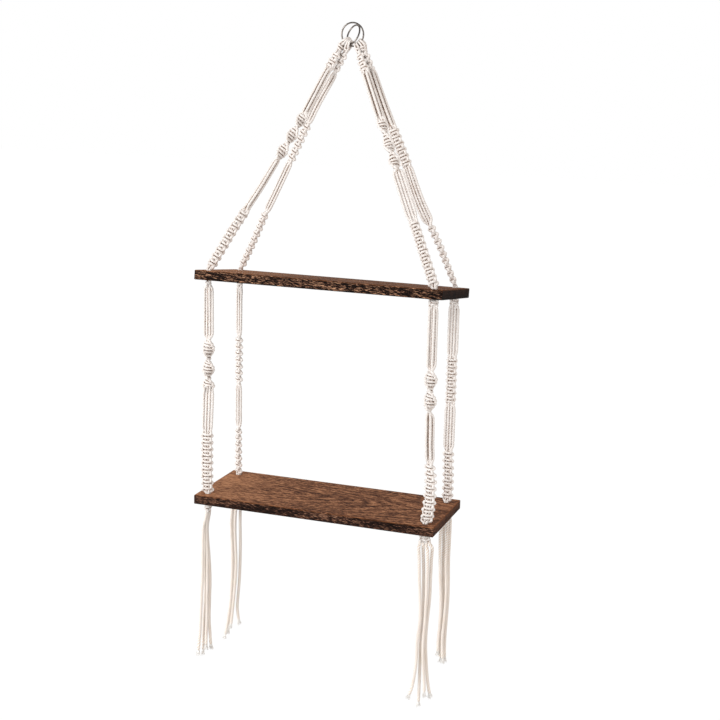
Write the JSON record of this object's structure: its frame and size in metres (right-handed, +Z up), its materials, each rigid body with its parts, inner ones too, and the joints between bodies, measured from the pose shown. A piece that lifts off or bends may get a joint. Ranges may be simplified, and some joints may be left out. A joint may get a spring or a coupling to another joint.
{
  "type": "hanging rope shelf",
  "caption": "Wall-hung shelf: rectangular wooden boards, one above the other, on legs of knotted cotton cord that end in loose tassels and gather at the top on steel rings.",
  "frame": {"origin": "where the wall's hook bears: inside the top of the large hanging ring", "axes": "+Z up, +X to the viewer's right along the boards, +Y from the front edges to the wall"},
  "size_m": [0.4101, 0.1597, 1.0487],
  "materials": {
    "dark_brown_wood": "satin stain",
    "polished_steel": "polished",
    "cotton_cord": "twisted cotton"
  },
  "bodies": {
    "large_ring": {"large_hanging_ring": "polished_steel"},
    "ring_loops": {"small_hanging_ring": "polished_steel", "front_left_ring_loop": "cotton_cord", "front_right_ring_loop": "cotton_cord", "back_left_ring_loop": "cotton_cord", "back_right_ring_loop": "cotton_cord"},
    "upper_tier": {"upper_board": "dark_brown_wood", "front_left_ring_sinnet": "cotton_cord", "front_left_upper_strands": "cotton_cord", "front_left_upper_berry_knots": "cotton_cord", "front_left_lower_strands": "cotton_cord", "front_left_upper_board_sinnet": "cotton_cord", "front_right_ring_sinnet": "cotton_cord", "front_right_upper_strands": "cotton_cord", "front_right_upper_berry_knots": "cotton_cord", "front_right_lower_strands": "cotton_cord", "front_right_upper_board_sinnet": "cotton_cord", "back_left_ring_sinnet": "cotton_cord", "back_left_upper_strands": "cotton_cord", "back_left_upper_middle_sinnet": "cotton_cord", "back_left_lower_strands": "cotton_cord", "back_left_upper_board_sinnet": "cotton_cord", "back_right_ring_sinnet": "cotton_cord", "back_right_upper_strands": "cotton_cord", "back_right_upper_middle_sinnet": "cotton_cord", "back_right_lower_strands": "cotton_cord", "back_right_upper_board_sinnet": "cotton_cord"},
    "front_left_tier_leg": {"front_left_tier_top_strands": "cotton_cord", "front_left_tier_berry_knots": "cotton_cord", "front_left_tier_low_strands": "cotton_cord"},
    "front_right_tier_leg": {"front_right_tier_top_strands": "cotton_cord", "front_right_tier_berry_knots": "cotton_cord", "front_right_tier_low_strands": "cotton_cord"},
    "back_left_tier_leg": {"back_left_tier_top_strands": "cotton_cord", "back_left_tier_middle_sinnet": "cotton_cord", "back_left_tier_low_strands": "cotton_cord"},
    "back_right_tier_leg": {"back_right_tier_top_strands": "cotton_cord", "back_right_tier_middle_sinnet": "cotton_cord", "back_right_tier_low_strands": "cotton_cord"},
    "lower_tier": {"lower_board": "dark_brown_wood", "front_left_lower_board_sinnet": "cotton_cord", "front_right_lower_board_sinnet": "cotton_cord", "back_left_lower_board_sinnet": "cotton_cord", "back_right_lower_board_sinnet": "cotton_cord"},
    "front_left_tassel": {"front_left_tassel_strand_1": "cotton_cord", "front_left_tassel_strand_2": "cotton_cord", "front_left_tassel_strand_3": "cotton_cord", "front_left_tassel_strand_4": "cotton_cord"},
    "front_right_tassel": {"front_right_tassel_strand_1": "cotton_cord", "front_right_tassel_strand_2": "cotton_cord", "front_right_tassel_strand_3": "cotton_cord", "front_right_tassel_strand_4": "cotton_cord"},
    "back_left_tassel": {"back_left_tassel_strand_1": "cotton_cord", "back_left_tassel_strand_2": "cotton_cord", "back_left_tassel_strand_3": "cotton_cord", "back_left_tassel_strand_4": "cotton_cord"},
    "back_right_tassel": {"back_right_tassel_strand_1": "cotton_cord", "back_right_tassel_strand_2": "cotton_cord", "back_right_tassel_strand_3": "cotton_cord", "back_right_tassel_strand_4": "cotton_cord"}
  },
  "joints": [
    {"name": "side_swing", "type": "hinge", "parent": "large_ring", "child": "ring_loops", "pos_m": [0, 0, -0.0165], "axis": [0, 1, 0], "range_deg": [-20, 20]},
    {"name": "pull_off_wall", "type": "hinge", "parent": "ring_loops", "child": "upper_tier", "pos_m": [0, -0.0055, -0.042], "axis": [-1, 0, 0], "range_deg": [0, 15]},
    {"name": "front_left_leg_sway", "type": "hinge", "parent": "upper_tier", "child": "front_left_tier_leg", "pos_m": [-0.184, -0.12478, -0.39731], "axis": [0, 1, 0], "range_deg": [-10, 10]},
    {"name": "front_right_leg_sway", "type": "hinge", "parent": "upper_tier", "child": "front_right_tier_leg", "pos_m": [0.182, -0.12478, -0.39731], "axis": [0, 1, 0], "range_deg": [-10, 10]},
    {"name": "back_left_leg_sway", "type": "hinge", "parent": "upper_tier", "child": "back_left_tier_leg", "pos_m": [-0.182, -0.01176, -0.41219], "axis": [0, 1, 0], "range_deg": [-10, 10]},
    {"name": "back_right_leg_sway", "type": "hinge", "parent": "upper_tier", "child": "back_right_tier_leg", "pos_m": [0.182, -0.01176, -0.41219], "axis": [0, 1, 0], "range_deg": [-10, 10]},
    {"name": "lower_board_level", "type": "hinge", "parent": "front_left_tier_leg", "child": "lower_tier", "pos_m": [-0.184, -0.12527, -0.6555], "axis": [0, 1, 0], "range_deg": [-10, 10]},
    {"name": "front_left_tassel_swing", "type": "hinge", "parent": "lower_tier", "child": "front_left_tassel", "pos_m": [-0.184, -0.12527, -0.7635], "axis": [0, 1, 0], "range_deg": [-20, 20]},
    {"name": "front_right_tassel_swing", "type": "hinge", "parent": "lower_tier", "child": "front_right_tassel", "pos_m": [0.182, -0.12527, -0.7635], "axis": [0, 1, 0], "range_deg": [-20, 20]},
    {"name": "back_left_tassel_swing", "type": "hinge", "parent": "lower_tier", "child": "back_left_tassel", "pos_m": [-0.182, -0.01127, -0.7635], "axis": [0, 1, 0], "range_deg": [-20, 20]},
    {"name": "back_right_tassel_swing", "type": "hinge", "parent": "lower_tier", "child": "back_right_tassel", "pos_m": [0.182, -0.01127, -0.7635], "axis": [0, 1, 0], "range_deg": [-20, 20]}
  ],
  "couplings": [
    {"joint": "front_right_leg_sway", "follows": "front_left_leg_sway", "ratio": 1},
    {"joint": "back_left_leg_sway", "follows": "front_left_leg_sway", "ratio": 1},
    {"joint": "back_right_leg_sway", "follows": "front_left_leg_sway", "ratio": 1},
    {"joint": "lower_board_level", "follows": "front_left_leg_sway", "ratio": -1}
  ]
}
